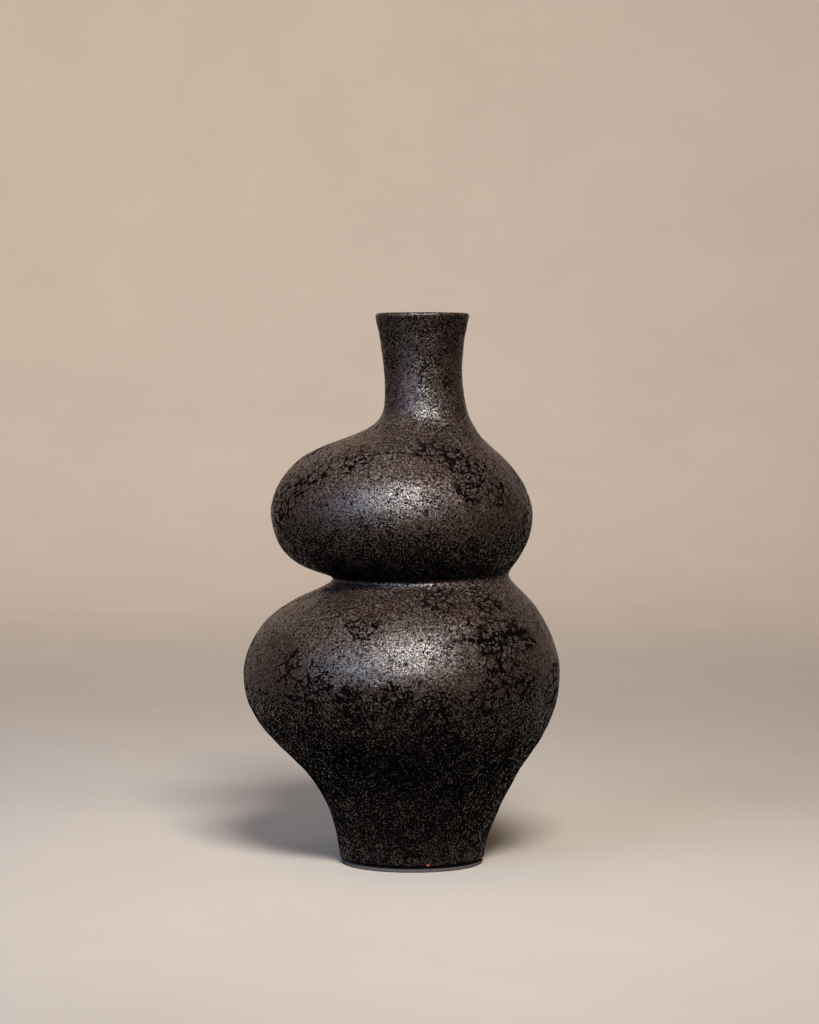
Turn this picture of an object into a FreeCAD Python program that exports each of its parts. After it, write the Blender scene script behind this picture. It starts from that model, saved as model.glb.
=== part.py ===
"""Glazed stoneware vase: two bulbs thrown as one hollow wall, with a pinched waist and a slim neck.

Units are millimetres. The origin is the centre of the foot on the resting plane, and +Z is up.
Each level of the wall is a true circle, and its centre may lean along X: both bulbs sag to -X,
while the waist and the neck stand a little to +X. Each rise is measured from the level below.
"""
import FreeCAD, Part
import math
import os

from FreeCAD import Vector

os.makedirs("parts", exist_ok=True)

# Bare foot ring, a groove above it, and a shallow recess under the floor
RING_HEIGHT = 2.0
RING_WIDTH = 9.0
RING_ROUNDING = 0.5
GROOVE_HEIGHT = 1.0
GROOVE_DEPTH = 1.7
GROOVE_LEDGE = 0.5
RECESS_DEPTH = 2.0
RECESS_ROUNDING = 1.0

# Lower bulb, whose first levels each step out from the level below
BASE_RADIUS = 46.0
BASE_ROUNDING = 2.2
ANKLE_RISE = 16.5
ANKLE_STEP = 3.0
ANKLE_LEAN = 0.5
HIP_RISE = 20.5
HIP_STEP = 8.0
HIP_LEAN = 1.5
FLANK_RISE = 16.5
FLANK_STEP = 9.5
FLANK_LEAN = 0.5
BOWL_RISE = 29.5
BOWL_RADIUS = 90.0
BOWL_LEAN = -4.5
BELLY_RISE = 40.5
BELLY_RADIUS = 100.5
BELLY_LEAN = -6.5
SHOULDER_RISE = 27.0
SHOULDER_RADIUS = 89.5
SHOULDER_LEAN = -4.5

# Pinched waist, which turns more sharply above the crease than below it
WAIST_SLOPE_RISE = 18.5
WAIST_SLOPE_STEP = 12.3
WAIST_SLOPE_LEAN = 2.5
WAIST_RISE = 10.5
WAIST_RADIUS = 56.5
WAIST_LEAN = 5.5
WAIST_TURN_RISE = 4.0
WAIST_TURN_STEP = 5.5
WAIST_TURN_LEAN = 0.5

# Upper bulb
UPPER_BOWL_RISE = 14.0
UPPER_BOWL_RADIUS = 77.0
UPPER_BOWL_LEAN = -5.5
UPPER_BELLY_RISE = 19.0
UPPER_BELLY_RADIUS = 83.0
UPPER_BELLY_LEAN = -6.5
UPPER_SHOULDER_RISE = 25.5
UPPER_SHOULDER_RADIUS = 76.0
UPPER_SHOULDER_LEAN = -7.0
CROWN_RISE = 22.0
CROWN_RADIUS = 51.0
CROWN_LEAN = -2.0

# Neck and lip
NECK_ROOT_RISE = 18.0
NECK_ROOT_RADIUS = 28.0
NECK_ROOT_LEAN = 8.5
NECK_RISE = 11.0
NECK_RADIUS = 25.5
NECK_LEAN = 8.0
FLARE_RISE = 28.0
FLARE_RADIUS = 25.6
FLARE_LEAN = 6.7
LIP_RISE = 26.0
LIP_RADIUS = 30.2
LIP_LEAN = 6.5
LIP_ROUNDING = 1.8

# Thickness of the clay, which thins evenly from the foot to the lip
FOOT_WALL = 7.5
LIP_WALL = 5.0
FLOOR_THICKNESS = 6.0
FLOOR_CORNER = 12.0

# The hollow follows the wall through this many levels, evenly spread along its outline
HOLLOW_LEVELS = 48

BASE_HEIGHT = RING_HEIGHT + GROOVE_HEIGHT
FLOOR_HEIGHT = RECESS_DEPTH + FLOOR_THICKNESS
GROOVE_RADIUS = BASE_RADIUS - BASE_ROUNDING - GROOVE_LEDGE
RING_RADIUS = GROOVE_RADIUS + GROOVE_DEPTH
RECESS_RADIUS = RING_RADIUS - RING_WIDTH
ANKLE_RADIUS = BASE_RADIUS + ANKLE_STEP
HIP_RADIUS = ANKLE_RADIUS + HIP_STEP
FLANK_RADIUS = HIP_RADIUS + FLANK_STEP
UP = Vector(0, 0, 1)


def outer_curve():
    """Smooth curve up the outer skin; its X is the lean of each level and its Y the radius."""
    rises = (
        (BASE_HEIGHT, BASE_RADIUS, 0.0),
        (ANKLE_RISE, ANKLE_RADIUS, ANKLE_LEAN),
        (HIP_RISE, HIP_RADIUS, HIP_LEAN),
        (FLANK_RISE, FLANK_RADIUS, FLANK_LEAN),
        (BOWL_RISE, BOWL_RADIUS, BOWL_LEAN),
        (BELLY_RISE, BELLY_RADIUS, BELLY_LEAN),
        (SHOULDER_RISE, SHOULDER_RADIUS, SHOULDER_LEAN),
        (WAIST_SLOPE_RISE, WAIST_RADIUS + WAIST_SLOPE_STEP, WAIST_SLOPE_LEAN),
        (WAIST_RISE, WAIST_RADIUS, WAIST_LEAN),
        (WAIST_TURN_RISE, WAIST_RADIUS + WAIST_TURN_STEP, WAIST_TURN_LEAN),
        (UPPER_BOWL_RISE, UPPER_BOWL_RADIUS, UPPER_BOWL_LEAN),
        (UPPER_BELLY_RISE, UPPER_BELLY_RADIUS, UPPER_BELLY_LEAN),
        (UPPER_SHOULDER_RISE, UPPER_SHOULDER_RADIUS, UPPER_SHOULDER_LEAN),
        (CROWN_RISE, CROWN_RADIUS, CROWN_LEAN),
        (NECK_ROOT_RISE, NECK_ROOT_RADIUS, NECK_ROOT_LEAN),
        (NECK_RISE, NECK_RADIUS, NECK_LEAN),
        (FLARE_RISE, FLARE_RADIUS, FLARE_LEAN),
        (LIP_RISE, LIP_RADIUS, LIP_LEAN),
    )
    levels = []
    height = 0.0
    for rise, radius, lean in rises:
        height += rise
        levels.append(Vector(lean, radius, height))
    curve = Part.BSplineCurve()
    curve.interpolate(Points=levels)
    return curve


def carried_on(start, towards, height):
    """The level at a height on the straight line through two levels of a curve."""
    step = towards - start
    return start + step * ((height - start.z) / step.z)


def inner_curve(outer):
    """Curve of the hollow, from the floor to the lip, one wall's thickness inside the outer skin."""
    top = outer.EndPoint.z
    step = (outer.LastParameter - outer.FirstParameter) / HOLLOW_LEVELS
    levels = []
    for count in range(HOLLOW_LEVELS):
        at = outer.FirstParameter + step * count
        skin = outer.value(at)
        slope = outer.tangent(at)[0]
        inward = Vector(0, -slope.z, slope.y).normalize()
        thickness = FOOT_WALL + (LIP_WALL - FOOT_WALL) * skin.z / top
        level = skin + inward * thickness
        if level.z > FLOOR_HEIGHT + FLOOR_CORNER / 2:
            levels.append(level)
    floor_edge = carried_on(levels[0], levels[1], FLOOR_HEIGHT)
    rim = Vector(LIP_LEAN, LIP_RADIUS - LIP_WALL, top)
    curve = Part.BSplineCurve()
    curve.interpolate(Points=[floor_edge] + levels + [rim])
    return curve


def round_skin(curve):
    """Face of true circles along a curve: each of its poles becomes a ring of weighted poles."""
    ring = ((1, 0), (1, 1), (0, 1), (-1, 1), (-1, 0), (-1, -1), (0, -1), (1, -1))
    poles = []
    weights = []
    for x, y in ring:
        rail = [Vector(pole.x + x * pole.y, y * pole.y, pole.z) for pole in curve.getPoles()]
        weight = math.cos(math.pi / 4) if x and y else 1.0
        poles.append(rail)
        weights.append([weight] * len(rail))
    quarters = [0.0, 0.25, 0.5, 0.75, 1.0]
    surface = Part.BSplineSurface()
    surface.buildFromPolesMultsKnots(
        poles, [2] * len(quarters), curve.getMultiplicities(),
        quarters, curve.getKnots(), True, False, 2, curve.Degree, weights)
    return surface.toShape()


def level_face(level):
    """Flat round face across one level of a curve."""
    circle = Part.Circle(Vector(level.x, 0, level.z), UP, level.y)
    return Part.Face(Part.Wire(circle.toShape()))


def hollow_body(outer, inner):
    """Wall between the outer skin and the hollow, with a flat base, floor and lip."""
    lip = level_face(outer.EndPoint).cut(level_face(inner.EndPoint))
    faces = [
        round_skin(outer), round_skin(inner), lip.Faces[0],
        level_face(outer.StartPoint), level_face(inner.StartPoint)]
    shell = Part.makeShell(faces)
    shell.sewShape()
    body = Part.makeSolid(shell.Shells[0])
    if body.Volume < 0:
        body.reverse()
    return body


def foot():
    """Foot ring with the recess under the floor and the groove that sets it off from the body."""
    profile = Part.makePolygon([
        Vector(0, 0, RECESS_DEPTH),
        Vector(RECESS_RADIUS, 0, RECESS_DEPTH),
        Vector(RECESS_RADIUS, 0, 0),
        Vector(RING_RADIUS, 0, 0),
        Vector(RING_RADIUS, 0, RING_HEIGHT),
        Vector(GROOVE_RADIUS, 0, RING_HEIGHT),
        Vector(GROOVE_RADIUS, 0, BASE_HEIGHT),
        Vector(0, 0, BASE_HEIGHT),
        Vector(0, 0, RECESS_DEPTH)])
    return Part.Face(profile).revolve(Vector(0, 0, 0), UP, 360)


def round_edge(shape, height, radius):
    """The level, round edge of a shape with a given height and radius."""
    for edge in shape.Edges:
        if isinstance(edge.Curve, Part.Circle):
            same_height = abs(edge.Curve.Center.z - height) < 0.001
            if same_height and abs(edge.Curve.Radius - radius) < 0.001:
                return edge
    raise ValueError("no round edge at height %s with radius %s" % (height, radius))


def make_vessel():
    """The whole vase in one piece: hollow body, foot and rounded edges."""
    outer = outer_curve()
    inner = inner_curve(outer)
    vessel = hollow_body(outer, inner).fuse(foot())
    roundings = (
        (FLOOR_CORNER, FLOOR_HEIGHT, inner.StartPoint.y),
        (LIP_ROUNDING, outer.EndPoint.z, LIP_RADIUS),
        (LIP_ROUNDING, outer.EndPoint.z, LIP_RADIUS - LIP_WALL),
        (BASE_ROUNDING, BASE_HEIGHT, BASE_RADIUS),
        (RECESS_ROUNDING, 0.0, RECESS_RADIUS),
        (RING_ROUNDING, 0.0, RING_RADIUS),
    )
    for rounding, height, radius in roundings:
        vessel = vessel.makeFillet(rounding, [round_edge(vessel, height, radius)])
    return vessel


vessel = make_vessel()
vessel.exportStep("parts/vessel.step")
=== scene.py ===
"""Double-bulb stoneware vase with a dark crawled glaze, dressed for the picture.

Blender works in metres here. Sizes that belong to the pot are written in millimetres, as a potter
would, and multiplied by MM where the mesh or a node needs them.
"""
import math
import random
from functools import partial

import bmesh
import bpy
import numpy as np
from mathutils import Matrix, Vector, noise


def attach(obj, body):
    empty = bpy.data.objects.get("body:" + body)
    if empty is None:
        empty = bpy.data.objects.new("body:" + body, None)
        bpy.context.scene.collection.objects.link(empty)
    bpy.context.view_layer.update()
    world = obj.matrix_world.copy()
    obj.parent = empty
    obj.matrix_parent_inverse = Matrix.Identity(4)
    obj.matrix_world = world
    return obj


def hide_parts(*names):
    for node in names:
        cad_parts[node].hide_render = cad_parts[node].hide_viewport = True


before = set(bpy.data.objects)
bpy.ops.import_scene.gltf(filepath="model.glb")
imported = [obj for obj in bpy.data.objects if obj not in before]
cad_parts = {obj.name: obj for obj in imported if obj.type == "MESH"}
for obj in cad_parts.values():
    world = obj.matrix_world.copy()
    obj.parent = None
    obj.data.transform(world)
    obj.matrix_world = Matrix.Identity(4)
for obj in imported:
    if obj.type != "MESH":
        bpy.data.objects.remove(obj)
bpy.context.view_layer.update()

bl_info = {
    "name": "Double-bulb vase",
    "version": (1, 0, 0),
    "blender": (4, 5, 0),
    "location": "3D View > Sidebar > Vase",
    "description": "Builds a thrown stoneware vase with a crawled glaze, and a plain studio round it",
    "category": "Object",
}

MM = 0.001

# Height, radius and lean of each level of the outer skin, from the base to the lip
LEVELS = (
    (3.0, 46.0, 0.0),
    (19.5, 49.0, 0.5),
    (40.0, 57.0, 1.5),
    (56.5, 66.5, 0.5),
    (86.0, 90.0, -4.5),
    (126.5, 100.5, -6.5),
    (153.5, 89.5, -4.5),
    (172.0, 68.8, 2.5),
    (182.5, 56.5, 5.5),
    (186.5, 62.0, 0.5),
    (200.5, 77.0, -5.5),
    (219.5, 83.0, -6.5),
    (245.0, 76.0, -7.0),
    (267.0, 51.0, -2.0),
    (285.0, 28.0, 8.5),
    (296.0, 25.5, 8.0),
    (324.0, 25.6, 6.7),
    (350.0, 30.2, 6.5),
)
BASE = LEVELS[0]
BASE_HEIGHT = BASE[0]
BASE_ROUNDING = 2.2
LIP = LEVELS[-1]
LIP_HEIGHT, LIP_RADIUS, LIP_LEAN = LIP
LIP_ROUNDING = 1.8
FOOT_WALL = 7.5
LIP_WALL = 5.0
FLOOR_HEIGHT = 8.0
FLOOR_CORNER = 12.0
RING_RADIUS = 45.0
RING_HEIGHT = 2.0
RING_ROUNDING = 0.5
GROOVE_RADIUS = 43.3
RECESS_RADIUS = 36.0
RECESS_DEPTH = 2.0
RECESS_ROUNDING = 1.0

# Inner corner of the lip, and how far below the lip the skins end and its rounding begins
LIP_INSIDE = (LIP_HEIGHT, LIP_RADIUS - LIP_WALL, LIP_LEAN)
LIP_REACH = LIP_ROUNDING * 1.4

# Points along each skin before its levels are spaced, and steps in the arc that rounds each corner
SKIN_POINTS = 4000
RECESS_STEPS = 4
RING_STEPS = 3
BASE_STEPS = 6
LIP_STEPS = 6
HOLLOW_LIP_STEPS = 5
FLOOR_STEPS = 6

# Width of the strip under the floor that ends at the recess's edge, in mm
RECESS_STRIP = 2.0

# Heights that are taken as the same, and places that are merged into one, in mm
SAME_HEIGHT = 0.01
SAME_PLACE = 0.001

# Cracks of the glaze that the front shows: half the width (mm) of each, and a line of angles
# (degrees to the right of the front) and heights (mm)
FRONT_CRACKS = (
    (0.2, ((18, 149), (24, 149), (30, 148), (34, 148))),
    (1.1, ((34, 148), (37, 151), (46, 151), (54, 151.5))),
    (0.3, ((54, 151.5), (57, 148), (61, 144))),
    (0.7, ((39, 149), (40, 142), (37, 137), (38, 129))),
    (0.3, ((37, 129), (38, 122), (41, 114))),
    (0.5, ((43, 149), (42, 141))),
    (0.4, ((47, 111), (50, 119), (55, 123))),
    (0.3, ((-25, 259), (-18, 262), (-11, 263), (-2, 263), (10, 261))),
    (0.15, ((6, 269), (15, 268), (24, 263), (28, 256))),
    (0.2, ((33, 266), (38, 260), (37, 252), (39, 247))),
    (0.15, ((31, 244), (36, 241), (43, 246))),
    (0.3, ((34, 168), (36, 165), (39, 164))),
)

# Patches where the glaze broke into plates on the front: angle (degrees), height and radius (mm)
FRONT_PATCHES = (
    (16, 266, 8), (30, 259, 11), (42, 252, 10), (49, 239, 9), (32, 239, 8), (-28, 257, 9),
    (-45, 250, 8), (-54, 238, 7), (39, 148, 15), (52, 150, 9), (38, 132, 13), (51, 121, 8),
    (33, 113, 10), (10, 105, 13), (-2, 114, 9), (-17, 111, 11), (-33, 119, 13),
    (-46, 131, 9), (-18, 156, 9), (12, 172, 10), (39, 170, 8), (18, 87, 11), (-4, 73, 12),
    (-26, 75, 10), (22, 48, 9),
)

# Cracks of the sides and back, drawn by chance from a seed: between which angles and heights each
# may start, half the widths that it may have, in how many steps it runs, how long a step is, how far
# it turns at each (radians), and the pot's radius there, which turns a step into degrees
CRACK_SEED = 7
CRACK_ANGLES = (75, 285)
CRACK_HEIGHTS = ((95, 165), (120, 160), (228, 268))
CRACK_WIDTHS = (0.1, 0.2, 0.3, 0.8)
CRACK_STEPS = (3, 9)
CRACK_STEP = 4.5
CRACK_TURN = 0.9
CRACK_RADIUS = 85

# Patches of the sides and back, drawn in the same way, with the radii that they may have
PATCH_SEED = 11
PATCH_ANGLES = (65, 295)
PATCH_HEIGHTS = ((45, 165), (95, 160), (215, 268))
PATCH_RADII = (7, 15)

# How steeply a patch fades outwards
PATCH_FALL = 0.7

# Distance from a crack's edge, in mm, over which its attribute fades from 1 to 0
CRACK_FADE = 5.0

# How many times a reach still counts as near a crack, and the share of the cracks' reach at which the
# glaze is still sunken by about a third of their depth
NEAR_REACH = 1.5
SINK_SHARE = 0.5

# Unevenness of a crack's edges: seed of the wander, its width, and how far it moves them, in mm
WANDER_SEED = 5
WANDER_WIDTH = 3.0
WANDER_REACH = 1.3

# Relief of the glaze: finer lumps, as shares of the lumps' height and width, the thrower's bands, as
# turns of their noise in a metre along each axis, and pits, whose width is in mm
FINE_SHARE = 0.5
FINE_WIDTH = 0.45
BAND_SHARE = 0.8
BAND_TURNS = (14, 14, 55)
PIT_SHARE = 0.3
PIT_WIDTH = 3.2

# Distances in mm over which the relief rises above the base and fades towards the lip, where this
# share of it is left
RELIEF_START = 0.5
RELIEF_RISE = 6
LIP_SHARE = 0.15

# Sizes of the glaze's patterns, in mm: how wide each is, and how far noise bends the cells' edges
GRAIN_BEND_WIDTH = 4
GRAIN_BEND_REACH = 1.4
MOTTLE_WIDTH = 9
PLATE_BEND_WIDTH = 6
PLATE_BEND_REACH = 11
JAG_WIDTH = 2.2
DRIFT_WIDTH = 26
SPECK_WIDTH = 1.6

# Width of the spots that raise or sink a grain, as a share of the grain's width
SPOT_SHARE = 0.9

# Heights in mm between which more grains are sunken low on the pot, most at the lower one and none
# above the upper one: painted shade, darker towards the bottom
LOW_SHADE_HEIGHT = 30
SHADE_FREE_HEIGHT = 130

# Middle and reach of the small chip in the glaze at the foot, in mm
CHIP_PLACE = (10.0, -45.0, 4.8)
CHIP_REACH = (1.2, 1.2, 0.65)

# Bare clay: width of its grit, and height up to which the foot is left without glaze, in mm
GRIT_WIDTH = 0.8
BARE_HEIGHT = BASE_HEIGHT - 0.2

# Studio, in metres: a round floor that bends up into a wall all round, the width of the brushed
# clouds on it, and how close two of its points are merged into one
FLOOR_RADIUS = 2.2
BEND_RADIUS = 1.2
WALL_HEIGHT = 3.2
CLOUD_WIDTH = 0.22
SWEEP_MERGE = 0.0001
BEND_STEPS = 12
SWEEP_SEGMENTS = 96

# Middle of the pot, where the lights look, in metres, and the colour of the room's even light
POT_MIDDLE = (0, 0, 0.18)
ROOM_COLOUR = (1.0, 0.98, 0.96, 1.0)

# Camera: a long lens a little above the pot's middle, in metres, degrees and millimetres
CAMERA_PLACE = (-0.0016, -1.8535, 0.3031)
CAMERA_PITCH = 2.453
CAMERA_LENS = 102.45
CAMERA_SENSOR = 36


def linear(code):
    """Scene-linear colour of an sRGB hex value."""
    channels = [int(code[at:at + 2], 16) / 255 for at in (1, 3, 5)]
    return tuple(c / 12.92 if c <= 0.04045 else ((c + 0.055) / 1.055) ** 2.4 for c in channels)


class VaseShape(bpy.types.PropertyGroup):
    """Sizes of the pot's mesh and of the relief in its glaze."""

    segments: bpy.props.IntProperty(
        name="Segments", description="Faces round each level of the outer skin", default=288, min=48)
    hollow_segments: bpy.props.IntProperty(
        name="Hollow segments", description="Faces round each level of the hollow", default=100, min=24)
    spacing: bpy.props.FloatProperty(
        name="Level spacing", description="Distance between levels of the outer skin",
        default=1.7 * MM, min=0.5 * MM, unit="LENGTH", precision=4)
    hollow_spacing: bpy.props.FloatProperty(
        name="Hollow spacing", description="Distance between levels of the hollow",
        default=5.0 * MM, min=1.0 * MM, unit="LENGTH", precision=4)
    lump_width: bpy.props.FloatProperty(
        name="Lump width", description="Width of the soft lumps where the glaze crawled",
        default=11.0 * MM, unit="LENGTH", precision=4)
    lump_height: bpy.props.FloatProperty(
        name="Lump height", description="Height of the soft lumps",
        default=0.3 * MM, unit="LENGTH", precision=5)
    crack_depth: bpy.props.FloatProperty(
        name="Crack depth", description="Depth of the open cracks in the glaze",
        default=0.5 * MM, unit="LENGTH", precision=5)
    crack_reach: bpy.props.FloatProperty(
        name="Crack reach", description="Distance from a crack's edge over which the glaze sinks to it",
        default=1.7 * MM, unit="LENGTH", precision=5)
    back_cracks: bpy.props.IntProperty(
        name="Back cracks", description="Open cracks on the sides and back", default=26, min=0)
    back_patches: bpy.props.IntProperty(
        name="Back patches", description="Patches of plates on the sides and back", default=44, min=0)


class VaseFinish(bpy.types.PropertyGroup):
    """Colours and grain of the glaze and the clay."""

    glaze: bpy.props.FloatVectorProperty(
        name="Glaze", description="Brown-black of the glaze where it lies thick",
        subtype="COLOR", default=linear("#20130d"), min=0, max=1)
    # The near black of the gaps is painted shade, for the shade that falls into the gaps between the
    # grains, the seams and the cracks
    gap: bpy.props.FloatVectorProperty(
        name="Gaps", description="Near black of the gaps between the grains",
        subtype="COLOR", default=linear("#040303"), min=0, max=1)
    fleck: bpy.props.FloatVectorProperty(
        name="Flecks", description="Bronze of the flecks on the grains",
        subtype="COLOR", default=linear("#584b43"), min=0, max=1)
    rust: bpy.props.FloatVectorProperty(
        name="Rust", description="Brown where the iron in the glaze broke through",
        subtype="COLOR", default=linear("#554031"), min=0, max=1)
    chip: bpy.props.FloatVectorProperty(
        name="Chip", description="Burnt clay under the flake that is off at the foot",
        subtype="COLOR", default=linear("#8a4a2c"), min=0, max=1)
    clay: bpy.props.FloatVectorProperty(
        name="Clay", description="Fired stoneware of the foot ring, without glaze",
        subtype="COLOR", default=linear("#38322d"), min=0, max=1)
    grain: bpy.props.FloatProperty(
        name="Grain", description="Width of one grain of the glaze with its gap",
        default=1.35 * MM, unit="LENGTH", precision=5)
    plate: bpy.props.FloatProperty(
        name="Plates", description="Width of the plates between fine cracks",
        default=7.0 * MM, unit="LENGTH", precision=4)


class VaseStudio(bpy.types.PropertyGroup):
    """Backdrop and lights."""

    sweep: bpy.props.FloatVectorProperty(
        name="Sweep", description="Colour of the floor and the backdrop",
        subtype="COLOR", default=linear("#a7998b"), min=0, max=1)
    key_power: bpy.props.FloatProperty(
        name="Key power", description="Power of the soft light in front",
        default=10.0, unit="POWER")
    backdrop_power: bpy.props.FloatProperty(
        name="Backdrop power", description="Power of the soft light on the backdrop",
        default=60.0, unit="POWER")
    window_power: bpy.props.FloatProperty(
        name="Window power", description="Power of the cool soft light on the left",
        default=11.5, unit="POWER")
    ceiling_power: bpy.props.FloatProperty(
        name="Ceiling power", description="Power of the wide soft light overhead",
        default=14.5, unit="POWER")
    room_level: bpy.props.FloatProperty(
        name="Room level", description="Strength of the even light of the room", default=0.03)


def smooth_curve(points):
    """Function for the smooth curve through points, which are parted by their distances.

    The slope at each end is that of the cubic through the four points nearest to it.
    """
    points = np.array(points, float)
    steps = np.linalg.norm(np.diff(points, axis=0), axis=1)
    at = np.concatenate(([0.0], np.cumsum(steps)))
    count = len(points)
    matrix = np.zeros((count, count))
    right = np.zeros_like(points)
    for row, four in ((0, slice(0, 4)), (count - 1, slice(count - 4, count))):
        matrix[row, row] = 1.0
        right[row] = np.polyfit(at[four] - at[row], points[four], 3)[2]
    chords = np.diff(points, axis=0) / steps[:, None]
    for row in range(1, count - 1):
        before, after = steps[row - 1], steps[row]
        matrix[row, row - 1:row + 2] = after, 2 * (before + after), before
        right[row] = 3 * (after * chords[row - 1] + before * chords[row])
    slopes = np.linalg.solve(matrix, right)

    def value(t):
        """Points and directions of the curve at distances t along its chords."""
        span = np.clip(np.searchsorted(at, t, side="right") - 1, 0, count - 2)
        size = steps[span][:, None]
        u = (t[:, None] - at[span][:, None]) / size
        start, end = points[span], points[span + 1]
        leave, arrive = slopes[span] * size, slopes[span + 1] * size
        place = (start * (2 * u ** 3 - 3 * u ** 2 + 1) + leave * (u ** 3 - 2 * u ** 2 + u)
                 + end * (3 * u ** 2 - 2 * u ** 3) + arrive * (u ** 3 - u ** 2))
        along = (start * (6 * u ** 2 - 6 * u) + leave * (3 * u ** 2 - 4 * u + 1)
                 + end * (6 * u - 6 * u ** 2) + arrive * (3 * u ** 2 - 2 * u))
        return place, along / np.linalg.norm(along, axis=1)[:, None]

    return value, at[-1]


def skins():
    """Closely spaced levels of the outer skin and of the hollow, as (height, radius, lean) in mm."""
    value, length = smooth_curve(LEVELS)
    outer, along = value(np.linspace(0, length, SKIN_POINTS))
    inward = np.stack([along[:, 1], -along[:, 0], np.zeros(len(along))], axis=1)
    inward /= np.linalg.norm(inward, axis=1)[:, None]
    wall = FOOT_WALL + (LIP_WALL - FOOT_WALL) * outer[:, 0] / LIP_HEIGHT
    inner = outer + inward * wall[:, None]
    return outer, inner


def spaced(levels, spacing):
    """The levels of a skin at an even spacing along its outline, with both ends."""
    run = np.concatenate(([0.0], np.cumsum(np.linalg.norm(np.diff(levels[:, :2], axis=0), axis=1))))
    count = max(2, round(run[-1] / spacing))
    at = np.linspace(0, run[-1], count + 1)
    return [tuple(np.interp(t, run, levels[:, axis]) for axis in range(3)) for t in at]


def rounding(before, corner, after, radius, steps):
    """Levels of the arc that rounds a corner of the outline."""
    corner = Vector(corner)
    back = (Vector(before) - corner).normalized()
    onward = (Vector(after) - corner).normalized()
    half = back.angle(onward) / 2
    middle = corner + (back + onward).normalized() * (radius / math.sin(half))
    start = (corner + back * (radius / math.tan(half)) - middle).normalized()
    end = (corner + onward * (radius / math.tan(half)) - middle).normalized()
    return [tuple(middle + start.slerp(end, step / steps) * radius) for step in range(steps + 1)]


def part_of(levels, lowest, highest):
    """The levels of a skin between two heights."""
    return levels[(levels[:, 0] >= lowest) & (levels[:, 0] <= highest)]


def outer_outline(outer, spacing):
    """Levels from the middle of the recess, round the foot and up the outer skin to the lip."""
    ring_edge = (0.0, RING_RADIUS, 0.0)
    ring_top = (RING_HEIGHT, RING_RADIUS, 0.0)
    recess_edge = (0.0, RECESS_RADIUS, 0.0)
    recess_top = (RECESS_DEPTH, RECESS_RADIUS, 0.0)
    groove_top = (BASE_HEIGHT, GROOVE_RADIUS, 0.0)
    skin = part_of(outer, BASE_HEIGHT + BASE_ROUNDING, LIP_HEIGHT - LIP_REACH)
    outline = [(RECESS_DEPTH, 0.0, 0.0), (RECESS_DEPTH, RECESS_RADIUS - RECESS_STRIP, 0.0), recess_top]
    outline += rounding(recess_top, recess_edge, ring_edge, RECESS_ROUNDING, RECESS_STEPS)
    outline += rounding(recess_edge, ring_edge, ring_top, RING_ROUNDING, RING_STEPS)
    outline += [ring_top, (RING_HEIGHT, GROOVE_RADIUS, 0.0), groove_top]
    outline += rounding(groove_top, BASE, tuple(skin[0]), BASE_ROUNDING, BASE_STEPS)
    outline += spaced(skin, spacing)[1:]
    outline += rounding(tuple(skin[-1]), LIP, LIP_INSIDE, LIP_ROUNDING, LIP_STEPS)
    return outline


def hollow_outline(inner, spacing):
    """Levels from the lip down the hollow to the middle of its floor."""
    floor_middle = (FLOOR_HEIGHT, 0.0, 0.0)
    skin = part_of(inner, FLOOR_HEIGHT + FLOOR_CORNER, LIP_HEIGHT - LIP_REACH)[::-1]
    low, towards = skin[-1], skin[-2]
    floor_edge = tuple(low + (low - towards) * ((low[0] - FLOOR_HEIGHT) / (towards[0] - low[0])))
    outline = rounding(LIP, LIP_INSIDE, tuple(skin[0]), LIP_ROUNDING, HOLLOW_LIP_STEPS)
    outline += spaced(skin, spacing)
    outline += rounding(tuple(low), floor_edge, floor_middle, FLOOR_CORNER, FLOOR_STEPS)
    outline += [floor_middle]
    return outline


def spun(bm, outline, segments, lean):
    """Spins an outline about the upright axis; returns its vertices, first to last turn."""
    line = []
    for height, radius, shift in outline:
        vertex = bm.verts.new((0.0, -radius * MM, height * MM))
        vertex[lean] = shift * MM
        line.append(vertex)
    edges = [bm.edges.new(pair) for pair in zip(line, line[1:])]
    before = set(bm.verts) - set(line)
    bmesh.ops.spin(
        bm, geom=line + edges, cent=(0, 0, 0), axis=(0, 0, 1), angle=math.tau,
        steps=segments, use_merge=True)
    return [vertex for vertex in bm.verts if vertex not in before]


def chance_cracks(count):
    """Cracks on the sides and back: each wanders from a chosen point, mostly on a shoulder."""
    draw = random.Random(CRACK_SEED)
    cracks = []
    for _ in range(count):
        angle = draw.uniform(*CRACK_ANGLES)
        height = draw.choice([draw.uniform(*heights) for heights in CRACK_HEIGHTS])
        heading = draw.uniform(0, math.tau)
        line = [(angle, height)]
        for _ in range(draw.randint(*CRACK_STEPS)):
            heading += draw.uniform(-CRACK_TURN, CRACK_TURN)
            angle += math.degrees(math.cos(heading) * CRACK_STEP / CRACK_RADIUS)
            height += math.sin(heading) * CRACK_STEP
            line.append((angle, height))
        cracks.append((draw.choice(CRACK_WIDTHS), line))
    return cracks


def chance_patches(count):
    """Patches of plates on the sides and back, as angles, heights and radii."""
    draw = random.Random(PATCH_SEED)
    patches = []
    for _ in range(count):
        height = draw.choice([draw.uniform(*heights) for heights in PATCH_HEIGHTS])
        patches.append((draw.uniform(*PATCH_ANGLES), height, draw.uniform(*PATCH_RADII)))
    return patches


def on_skin(outer, angle, height):
    """Point of the outer skin, in mm, at an angle to the right of the front and a height."""
    radius = np.interp(height, outer[:, 0], outer[:, 1])
    shift = np.interp(height, outer[:, 0], outer[:, 2])
    turn = math.radians(angle)
    return np.array([shift + radius * math.sin(turn), -radius * math.cos(turn), height])


def crazing(places, spots):
    """How deep each place lies in a patch: 1 in its middle, less by half at its radius."""
    depth = np.zeros(len(places))
    for middle, radius in spots:
        gap = np.linalg.norm(places - middle, axis=1)
        depth = np.maximum(depth, np.exp(-PATCH_FALL * (gap / radius) ** 2))
    return depth


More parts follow.
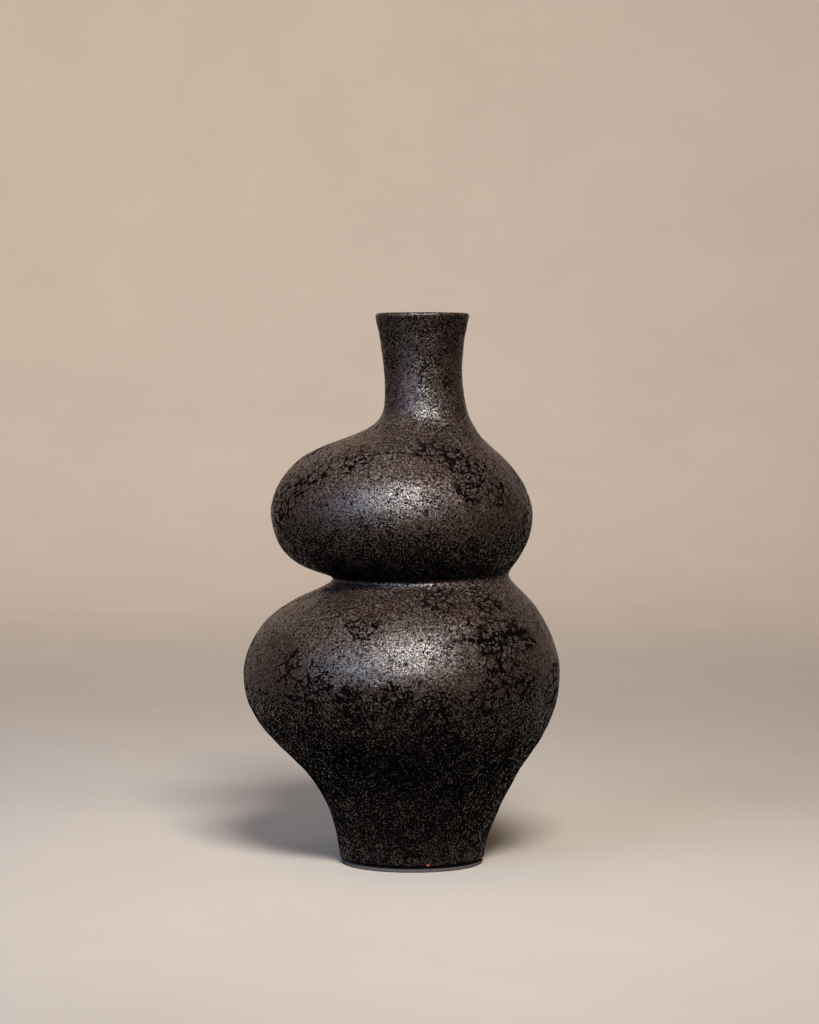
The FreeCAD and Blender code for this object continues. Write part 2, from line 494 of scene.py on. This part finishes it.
def crack_distance(places, lines):
    """Distance in mm from each place to the edge of the nearest crack, less than 0 inside it."""
    nearest = np.full(len(places), 1e3)
    for width, line in lines:
        for start, end in zip(line, line[1:]):
            along = end - start
            share = np.clip((places - start) @ along / (along @ along), 0, 1)
            gap = np.linalg.norm(places - start - share[:, None] * along, axis=1)
            nearest = np.minimum(nearest, gap - width)
    return nearest


def wandering(places):
    """Places moved a little sideways, so that a crack's edges aren't straight.

    The seed is set because the noise of vectors would start from another one at each run.
    """
    noise.seed_set(WANDER_SEED)
    moved = places.copy()
    for number, place in enumerate(places):
        moved[number] += np.array(noise.noise_vector(Vector(place) / WANDER_WIDTH)) * WANDER_REACH
    return moved


def relief(place, shape):
    """Height of the glaze's lumps and of the thrower's unevenness at a place, in metres."""
    spot = Vector(place)
    width = shape.lump_width
    lumps = noise.noise(spot / width) + FINE_SHARE * noise.noise(spot / (width * FINE_WIDTH))
    bands = noise.noise(Vector([along * turns for along, turns in zip(spot, BAND_TURNS)]))
    pits = noise.noise(spot / (PIT_WIDTH * MM))
    return shape.lump_height * (lumps + BAND_SHARE * bands + PIT_SHARE * pits)


def with_places(bm):
    """The vertices of a bmesh and an array of their places, in mm."""
    vertices = list(bm.verts)
    return vertices, np.array([vertex.co for vertex in vertices]) / MM


def spin_skins(bm, shape, outer, inner, layers):
    """Spins both skins, bridges them at the lip and leans their levels."""
    lean = layers["lean"]
    shell = spun(bm, outer_outline(outer, shape.spacing / MM), shape.segments, lean)
    for vertex in shell:
        vertex[layers["outside"]] = 1.0
    spun(bm, hollow_outline(inner, shape.hollow_spacing / MM), shape.hollow_segments, lean)
    rims = [edge for edge in bm.edges if edge.is_boundary
            and edge.verts[0].co.z > (LIP_HEIGHT - SAME_HEIGHT) * MM]
    bmesh.ops.bridge_loops(bm, edges=rims)
    bmesh.ops.remove_doubles(bm, verts=bm.verts, dist=SAME_PLACE * MM)
    bmesh.ops.recalc_face_normals(bm, faces=bm.faces)
    for vertex in bm.verts:
        vertex.co.x += vertex[lean]


def split_near_cracks(bm, lines, reach, outside):
    """Halves the edges of the outer skin near the cracks, so that they have faces to open in."""
    vertices, places = with_places(bm)
    gaps = crack_distance(places, lines)
    near = {vertex for vertex, gap in zip(vertices, gaps)
            if gap < reach * NEAR_REACH and vertex[outside] > 0.5}
    edges = [edge for edge in bm.edges if edge.verts[0] in near and edge.verts[1] in near]
    bmesh.ops.subdivide_edges(bm, edges=edges, cuts=1, use_grid_fill=True)
    bmesh.ops.triangulate(bm, faces=[face for face in bm.faces if len(face.verts) > 4])
    bm.normal_update()


def roughen(bm, shape, lines, patches, layers):
    """Raises the lumps, sinks the cracks and writes each vertex's share of a crack and a patch."""
    reach = shape.crack_reach / MM
    vertices, places = with_places(bm)
    gaps = crack_distance(places, lines)
    close = gaps < CRACK_FADE * NEAR_REACH
    gaps[close] = crack_distance(wandering(places[close]), lines)
    for vertex, gap, depth in zip(vertices, gaps, crazing(places, patches)):
        height = vertex.co.z / MM
        if vertex[layers["outside"]] < 0.5 or height < BASE_HEIGHT + RELIEF_START:
            continue
        fade = min(1.0, (height - BASE_HEIGHT) / RELIEF_RISE,
                   max(LIP_SHARE, (LIP_HEIGHT - height) / RELIEF_RISE))
        vertex[layers["crack"]] = max(0.0, 1 - gap / CRACK_FADE)
        vertex[layers["crazed"]] = depth
        cut = math.exp(-(max(0.0, gap) / (reach * SINK_SHARE)) ** 2)
        vertex.co += vertex.normal * (relief(vertex.co, shape) * fade - shape.crack_depth * cut)
    bm.normal_update()


def make_vessel(shape):
    """Mesh of the pot: both skins spun, bridged at the lip, leaned, cracked and made uneven."""
    outer, inner = skins()
    cracks = list(FRONT_CRACKS) + chance_cracks(shape.back_cracks)
    lines = [(width, [on_skin(outer, *point) for point in line]) for width, line in cracks]
    patches = [(on_skin(outer, angle, height), radius) for angle, height, radius
               in list(FRONT_PATCHES) + chance_patches(shape.back_patches)]
    bm = bmesh.new()
    layers = {name: bm.verts.layers.float.new(name) for name in ("lean", "crack", "outside", "crazed")}
    spin_skins(bm, shape, outer, inner, layers)
    split_near_cracks(bm, lines, shape.crack_reach / MM, layers["outside"])
    roughen(bm, shape, lines, patches, layers)
    for face in bm.faces:
        face.smooth = True
        bare = face.calc_center_median().z < BARE_HEIGHT * MM
        face.material_index = 1 if bare else 0
    mesh = bpy.data.meshes.new("vase_pot")
    bm.to_mesh(mesh)
    bm.free()
    mesh.attributes.remove(mesh.attributes["lean"])
    return mesh


def node(tree, kind, settings=None, **links):
    """Adds a node. Settings are its own properties.

    Links are its inputs, by name or as _ and a number, each with a value or the output that feeds it.
    """
    made = tree.nodes.new(kind)
    for name, value in (settings or {}).items():
        setattr(made, name, value)
    for name, value in links.items():
        number = name[1:]
        socket = made.inputs[int(number) if number.isdigit() else name.replace("_", " ")]
        if isinstance(value, bpy.types.NodeSocket):
            tree.links.new(value, socket)
        else:
            socket.default_value = value
    return made


def new_material(name):
    """An empty node material, and the function that adds a node to it."""
    material = bpy.data.materials.new(name)
    material.use_nodes = True
    material.node_tree.nodes.clear()
    return material, partial(node, material.node_tree)


def moved_about(add, place, width, reach, detail, roughness):
    """Coordinates moved about by noise, so that cells drawn on them have uneven edges."""
    drift = add("ShaderNodeTexNoise", Vector=place, Scale=1 / width, Detail=detail, Roughness=roughness)
    offset = add("ShaderNodeVectorMath", {"operation": "SUBTRACT"},
                 _0=drift.outputs["Color"], _1=(0.5, 0.5, 0.5))
    shift = add("ShaderNodeVectorMath", {"operation": "MULTIPLY_ADD"},
                _0=offset.outputs["Vector"], _1=(reach, reach, reach), _2=place)
    return shift.outputs["Vector"]


def glaze_spots(add, grain_width, bent):
    """Noise about as wide as the grains, which raises some of them and sinks others."""
    spots = add("ShaderNodeTexNoise", Vector=bent, Scale=1 / (grain_width * SPOT_SHARE), Detail=3.0,
                Roughness=0.66, Distortion=0.8)
    return spots.outputs["Fac"]


def glaze_grains(add, grain_width, bent, spots, changes):
    """Height of the grains, from 0 in their gaps to 1: domes with steep sides, parted by thin gaps.

    A grain is raised where the spots and the changes to them add up to enough, and else sunken.
    """
    cells = add("ShaderNodeTexVoronoi", {"feature": "DISTANCE_TO_EDGE"},
                Vector=bent, Scale=1 / grain_width, Randomness=1.0)
    domes = add("ShaderNodeMapRange", {"interpolation_type": "SMOOTHSTEP"},
                Value=cells.outputs["Distance"], _1=-0.12, _2=0.36)
    cover = spots
    for change in changes:
        cover = add("ShaderNodeMath", {"operation": "ADD"},
                    _0=cover, _1=change.outputs["Result"]).outputs["Value"]
    raised = add("ShaderNodeMapRange", {"interpolation_type": "SMOOTHSTEP"},
                 Value=cover, _1=0.37, _2=0.57)
    grain = add("ShaderNodeMath", {"operation": "MULTIPLY"},
                _0=domes.outputs["Result"], _1=raised.outputs["Result"])
    return grain.outputs["Value"]


def plate_seams(add, plate_width, place, mottle):
    """Seams between the plates, which are cells wider than the grains and show only in patches."""
    wide = moved_about(add, place, PLATE_BEND_WIDTH * MM, PLATE_BEND_REACH * MM, 4.0, 0.65)
    plates = add("ShaderNodeTexVoronoi", {"feature": "DISTANCE_TO_EDGE"},
                 Vector=wide, Scale=1 / plate_width, Randomness=1.0)
    seams = add("ShaderNodeMapRange", {"interpolation_type": "SMOOTHSTEP"},
                Value=plates.outputs["Distance"], _1=0.03, _2=0.14, _3=1.0, _4=0.0)
    crazed = add("ShaderNodeAttribute", {"attribute_name": "crazed"})
    broken = add("ShaderNodeMath", {"operation": "MULTIPLY_ADD"},
                 _0=mottle, _1=1.6, _2=crazed.outputs["Fac"])
    patch = add("ShaderNodeMapRange", {"interpolation_type": "SMOOTHSTEP"},
                Value=broken.outputs["Value"], _1=0.98, _2=1.3)
    seam = add("ShaderNodeMath", {"operation": "MULTIPLY"},
               _0=seams.outputs["Result"], _1=patch.outputs["Result"])
    return seam.outputs["Value"]


def open_cracks(add, bent):
    """Open cracks, from the nearness to them that the mesh carries, with jagged edges."""
    crack = add("ShaderNodeAttribute", {"attribute_name": "crack"})
    jags = add("ShaderNodeTexNoise", Vector=bent, Scale=1 / (JAG_WIDTH * MM), Detail=3.0, Roughness=0.6)
    ragged = add("ShaderNodeMath", {"operation": "MULTIPLY_ADD"},
                 _0=jags.outputs["Fac"], _1=1.1, _2=-0.55)
    reach = add("ShaderNodeMath", {"operation": "ADD"},
                _0=crack.outputs["Fac"], _1=ragged.outputs["Value"])
    opened = add("ShaderNodeMapRange", {"interpolation_type": "SMOOTHSTEP"},
                 Value=reach.outputs["Value"], _1=0.83, _2=0.94)
    return opened.outputs["Result"]


def glaze_colour(add, finish, place, bent, facing):
    """Brown black, with bronze flecks that turn to rust in drifts; there are fewer flecks on faces that
    turn down and most on the shoulders, which is painted shade below and painted light on top.
    """
    drifts = add("ShaderNodeTexNoise", Vector=place, Scale=1 / (DRIFT_WIDTH * MM), Detail=5.0,
                 Roughness=0.65)
    rusty = add("ShaderNodeMapRange", {"interpolation_type": "SMOOTHSTEP"},
                Value=drifts.outputs["Fac"], _1=0.42, _2=0.66)
    fleck = add("ShaderNodeMix", {"data_type": "RGBA"}, _0=rusty.outputs["Result"],
                _6=(*finish.fleck, 1), _7=(*finish.rust, 1))
    specks = add("ShaderNodeTexNoise", Vector=bent, Scale=1 / (SPECK_WIDTH * MM), Detail=2.0,
                 Roughness=0.7, Distortion=0.8)
    flecked = add("ShaderNodeMapRange", {"interpolation_type": "SMOOTHSTEP"},
                  Value=specks.outputs["Fac"], _1=0.4, _2=0.72)
    # Painted light and shade: the flecks thin out on faces that turn down and are fullest on faces that
    # turn up
    painted_top_light = add("ShaderNodeMapRange", Value=facing, _1=-0.15, _2=0.6, _3=0.25, _4=1.0)
    crystals = add("ShaderNodeMath", {"operation": "MULTIPLY"},
                   _0=flecked.outputs["Result"], _1=painted_top_light.outputs["Result"])
    colour = add("ShaderNodeMix", {"data_type": "RGBA"}, _0=crystals.outputs["Value"],
                 _6=(*finish.glaze, 1), _7=fleck.outputs[2])
    return colour.outputs[2]


def foot_chip(add, place):
    """Share of the small flake that is off at the foot: 1 in its middle and 0 past its rim."""
    away = add("ShaderNodeVectorMath", {"operation": "SUBTRACT"},
               _0=place, _1=[along * MM for along in CHIP_PLACE])
    share = add("ShaderNodeVectorMath", {"operation": "DIVIDE"},
                _0=away.outputs["Vector"], _1=[along * MM for along in CHIP_REACH])
    reach = add("ShaderNodeVectorMath", {"operation": "LENGTH"}, _0=share.outputs["Vector"])
    chip = add("ShaderNodeMapRange", Value=reach.outputs["Value"], _1=0.7, _2=1.1, _3=1.0, _4=0.0)
    return chip.outputs["Result"]


def glaze_material(finish):
    """Iron-saturated stoneware glaze, dipped and crawled into grains in the firing.

    Gives the eye half-gloss grains of pewter on brown black, with matt black gaps between them,
    fine plates on the shoulders and open cracks. The black of the gaps, seams and cracks is painted
    shade, and so is the darker glaze on faces that turn down and low on the pot.
    """
    material, add = new_material("crawled_iron_glaze")
    coordinates = add("ShaderNodeTexCoord")
    place = coordinates.outputs["Object"]
    facing = add("ShaderNodeSeparateXYZ", Vector=coordinates.outputs["Normal"]).outputs["Z"]
    level = add("ShaderNodeSeparateXYZ", Vector=place).outputs["Z"]
    bent = moved_about(add, place, GRAIN_BEND_WIDTH * MM, GRAIN_BEND_REACH * MM, 2.0, 0.5)

    # More grains are sunken on overhangs and low on the pot, which is painted shade on the undersides
    # and towards the foot, and at random in drifts
    mottle = add("ShaderNodeTexNoise", Vector=place, Scale=1 / (MOTTLE_WIDTH * MM), Detail=3.0,
                 Roughness=0.6).outputs["Fac"]
    # Painted shade: the thin map sinks grains on faces that turn down, and the dry map sinks them low
    # on the pot
    thin = add("ShaderNodeMapRange", Value=facing, _1=-0.6, _2=0.1, _3=-0.12, _4=0.0)
    dry = add("ShaderNodeMapRange", Value=level, _1=LOW_SHADE_HEIGHT * MM, _2=SHADE_FREE_HEIGHT * MM,
              _3=-0.05, _4=0.0)
    mottled = add("ShaderNodeMapRange", Value=mottle, _1=0.3, _2=0.7, _3=-0.04, _4=0.04)
    spots = glaze_spots(add, finish.grain, bent)
    grain = glaze_grains(add, finish.grain, bent, spots, (thin, dry, mottled))

    # The glaze is gone in the seams and the cracks, down to the level of the gaps, whose near black is
    # painted shade
    cut = add("ShaderNodeMath", {"operation": "MAXIMUM"},
              _0=plate_seams(add, finish.plate, place, mottle), _1=open_cracks(add, bent))
    whole = add("ShaderNodeMath", {"operation": "SUBTRACT", "use_clamp": True},
                _0=1.0, _1=cut.outputs["Value"])
    height = add("ShaderNodeMath", {"operation": "MULTIPLY"}, _0=grain, _1=whole.outputs["Value"])
    chip = foot_chip(add, place)
    kept = add("ShaderNodeMath", {"operation": "SUBTRACT"}, _0=height.outputs["Value"], _1=chip)
    solid = add("ShaderNodeMapRange", {"interpolation_type": "SMOOTHSTEP"},
                Value=kept.outputs["Value"], _1=0.08, _2=0.32)

    # Iron in the skin of the grains raises its index; the gaps, seams and cracks are a matt near-black,
    # painted shade that the bump can't cast
    skin_height = add("ShaderNodeMath", {"operation": "MULTIPLY_ADD"},
                      _0=height.outputs["Value"], _1=0.3, _2=spots)
    bump = add("ShaderNodeBump", Strength=1.0, Distance=0.22 * MM, Height=skin_height.outputs["Value"])
    skin = add("ShaderNodeBsdfPrincipled", Base_Color=glaze_colour(add, finish, place, bent, facing),
               Roughness=0.22, IOR=1.56, Specular_Tint=(1.0, 0.92, 0.85, 1.0),
               Normal=bump.outputs["Normal"])
    # Painted shade: the gaps, seams and cracks are a matt near-black, with the burnt clay of the chip
    # in its place
    under = add("ShaderNodeMix", {"data_type": "RGBA"}, _0=chip,
                _6=(*finish.gap, 1), _7=(*finish.chip, 1))
    pits = add("ShaderNodeBsdfDiffuse", Color=under.outputs[2], Roughness=1.0)
    shader = add("ShaderNodeMixShader", _0=solid.outputs["Result"], _1=pits.outputs["BSDF"],
                 _2=skin.outputs["BSDF"])
    add("ShaderNodeOutputMaterial", Surface=shader.outputs["Shader"])
    return material


def clay_material(finish):
    """Fired stoneware clay, turned on the wheel and left without glaze: dry, matt and speckled."""
    material, add = new_material("bare_stoneware_clay")
    place = add("ShaderNodeTexCoord").outputs["Object"]
    grit = add("ShaderNodeTexNoise", Vector=place, Scale=1 / (GRIT_WIDTH * MM), Detail=3.0,
               Roughness=0.7)
    toned = add("ShaderNodeMapRange", Value=grit.outputs["Fac"], _1=0.3, _2=0.7, _3=0.55, _4=1.15)
    colour = add("ShaderNodeVectorMath", {"operation": "SCALE"}, _0=tuple(finish.clay),
                 Scale=toned.outputs["Result"])
    bump = add("ShaderNodeBump", Strength=0.6, Distance=0.12 * MM, Height=grit.outputs["Fac"])
    shader = add("ShaderNodeBsdfPrincipled", Base_Color=colour.outputs["Vector"], Roughness=0.9,
                 Normal=bump.outputs["Normal"])
    add("ShaderNodeOutputMaterial", Surface=shader.outputs["BSDF"])
    return material


def sweep_material(studio):
    """Matt painted canvas of a studio sweep, brushed unevenly by hand."""
    material, add = new_material("painted_canvas_sweep")
    place = add("ShaderNodeTexCoord").outputs["Object"]
    cloud = add("ShaderNodeTexNoise", Vector=place, Scale=1 / CLOUD_WIDTH, Detail=4.0, Roughness=0.6)
    toned = add("ShaderNodeMapRange", Value=cloud.outputs["Fac"], _1=0.3, _2=0.7, _3=0.97, _4=1.03)
    colour = add("ShaderNodeVectorMath", {"operation": "SCALE"}, _0=tuple(studio.sweep),
                 Scale=toned.outputs["Result"])
    shader = add("ShaderNodeBsdfPrincipled", Base_Color=colour.outputs["Vector"], Roughness=0.95,
                 Specular_IOR_Level=0.1)
    add("ShaderNodeOutputMaterial", Surface=shader.outputs["BSDF"])
    return material


def sweep_mesh():
    """Mesh of the sweep: its outline, spun about the upright axis."""
    bm = bmesh.new()
    line = [bm.verts.new((0, 0, 0)), bm.verts.new((0, FLOOR_RADIUS, 0))]
    for step in range(1, BEND_STEPS + 1):
        turn = math.radians(90 * step / BEND_STEPS)
        out = FLOOR_RADIUS + BEND_RADIUS * math.sin(turn)
        line.append(bm.verts.new((0, out, BEND_RADIUS - BEND_RADIUS * math.cos(turn))))
    line.append(bm.verts.new((0, FLOOR_RADIUS + BEND_RADIUS, WALL_HEIGHT)))
    edges = [bm.edges.new(pair) for pair in zip(line, line[1:])]
    bmesh.ops.spin(bm, geom=line + edges, cent=(0, 0, 0), axis=(0, 0, 1), angle=math.tau,
                   steps=SWEEP_SEGMENTS, use_merge=True)
    bmesh.ops.remove_doubles(bm, verts=bm.verts, dist=SWEEP_MERGE)
    for face in bm.faces:
        face.smooth = True
    mesh = bpy.data.meshes.new("sweep")
    bm.to_mesh(mesh)
    bm.free()
    return mesh


def soft_light(name, power, colour, size, location, target, spread=180):
    """Soft light of a given width and height, turned from a place towards a target.

    The spread, in degrees, is narrower where a grid keeps the light off the walls.
    """
    lamp = bpy.data.lights.new(name, "AREA")
    lamp.shape = "RECTANGLE"
    lamp.size, lamp.size_y = size
    lamp.energy = power
    lamp.spread = math.radians(spread)
    lamp.color = colour
    light = bpy.data.objects.new(name, lamp)
    light.location = location
    light.rotation_euler = (Vector(location) - Vector(target)).to_track_quat("Z", "Y").to_euler()
    light.visible_camera = False
    bpy.context.collection.objects.link(light)


def add_lights(studio):
    """Soft light in front, cool light of a window, wide light overhead and light on the backdrop."""
    soft_light("key", studio.key_power, colour=(0.93, 0.96, 1.0), size=(0.6, 0.3),
               location=(0.23, -1.48, 1.35), target=POT_MIDDLE, spread=60)
    soft_light("window", studio.window_power, colour=(0.44, 0.64, 1.0), size=(2.0, 0.8),
               location=(-1.5, -1.45, 1.1), target=(-0.45, 0.37, 0.18), spread=70)
    soft_light("ceiling", studio.ceiling_power, colour=(1.0, 0.93, 0.86), size=(2.0, 2.0),
               location=(-0.6, 0.1, 2.4), target=POT_MIDDLE)
    soft_light("backdrop", studio.backdrop_power, colour=(1.0, 0.97, 0.95), size=(3.0, 0.5),
               location=(-0.4, 1.9, 2.4), target=(-0.2, 3.4, 0.5), spread=150)


def add_room(scene, level):
    """Even light of the room, and colours shown as they are."""
    world = bpy.data.worlds.new("room")
    world.use_nodes = True
    background = world.node_tree.nodes["Background"]
    background.inputs["Color"].default_value = ROOM_COLOUR
    background.inputs["Strength"].default_value = level
    scene.world = world
    scene.view_settings.view_transform = "Standard"


def add_camera(scene):
    """Camera that looks at the pot's front from a little above."""
    lens = bpy.data.cameras.new("camera")
    lens.sensor_width = CAMERA_SENSOR
    lens.lens = CAMERA_LENS
    camera = bpy.data.objects.new("camera", lens)
    camera.location = CAMERA_PLACE
    camera.rotation_euler = (math.radians(90 - CAMERA_PITCH), 0, 0)
    scene.collection.objects.link(camera)
    scene.camera = camera


class VASE_OT_pot(bpy.types.Operator):
    """Build the pot and give it its glaze"""

    bl_idname = "vase.pot"
    bl_label = "Build the pot"

    def execute(self, context):
        mesh = make_vessel(context.scene.vase_shape)
        finish = context.scene.vase_finish
        mesh.materials.append(glaze_material(finish))
        mesh.materials.append(clay_material(finish))
        pot = bpy.data.objects.new("vase_pot", mesh)
        context.collection.objects.link(pot)
        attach(pot, "root")
        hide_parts("vessel")
        return {"FINISHED"}


class VASE_OT_studio(bpy.types.Operator):
    """Build the pale sweep, the soft lights and the camera"""

    bl_idname = "vase.studio"
    bl_label = "Build the studio"

    def execute(self, context):
        studio = context.scene.vase_studio
        mesh = sweep_mesh()
        mesh.materials.append(sweep_material(studio))
        sweep = bpy.data.objects.new("sweep", mesh)
        context.collection.objects.link(sweep)
        add_lights(studio)
        add_room(context.scene, studio.room_level)
        add_camera(context.scene)
        return {"FINISHED"}


class VASE_PT_panel(bpy.types.Panel):
    """Settings of the pot, its finish and the studio, and the buttons that build them"""

    bl_label = "Vase"
    bl_space_type = "VIEW_3D"
    bl_region_type = "UI"
    bl_category = "Vase"

    def draw(self, context):
        for group in SETTINGS:
            box = self.layout.box()
            settings = getattr(context.scene, group)
            for name in settings.__annotations__:
                box.prop(settings, name)
        self.layout.operator(VASE_OT_pot.bl_idname)
        self.layout.operator(VASE_OT_studio.bl_idname)


SETTINGS = {"vase_shape": VaseShape, "vase_finish": VaseFinish, "vase_studio": VaseStudio}
CLASSES = (*SETTINGS.values(), VASE_OT_pot, VASE_OT_studio, VASE_PT_panel)


def register():
    """Registers the classes and gives the scene their settings."""
    for made in CLASSES:
        bpy.utils.register_class(made)
    for name, group in SETTINGS.items():
        setattr(bpy.types.Scene, name, bpy.props.PointerProperty(type=group))


def unregister():
    """Takes the settings and the classes away again."""
    for name in SETTINGS:
        delattr(bpy.types.Scene, name)
    for made in reversed(CLASSES):
        bpy.utils.unregister_class(made)


def main():
    """Builds everything."""
    register()
    bpy.ops.vase.pot()
    bpy.ops.vase.studio()


if __name__ == "__main__":
    main()
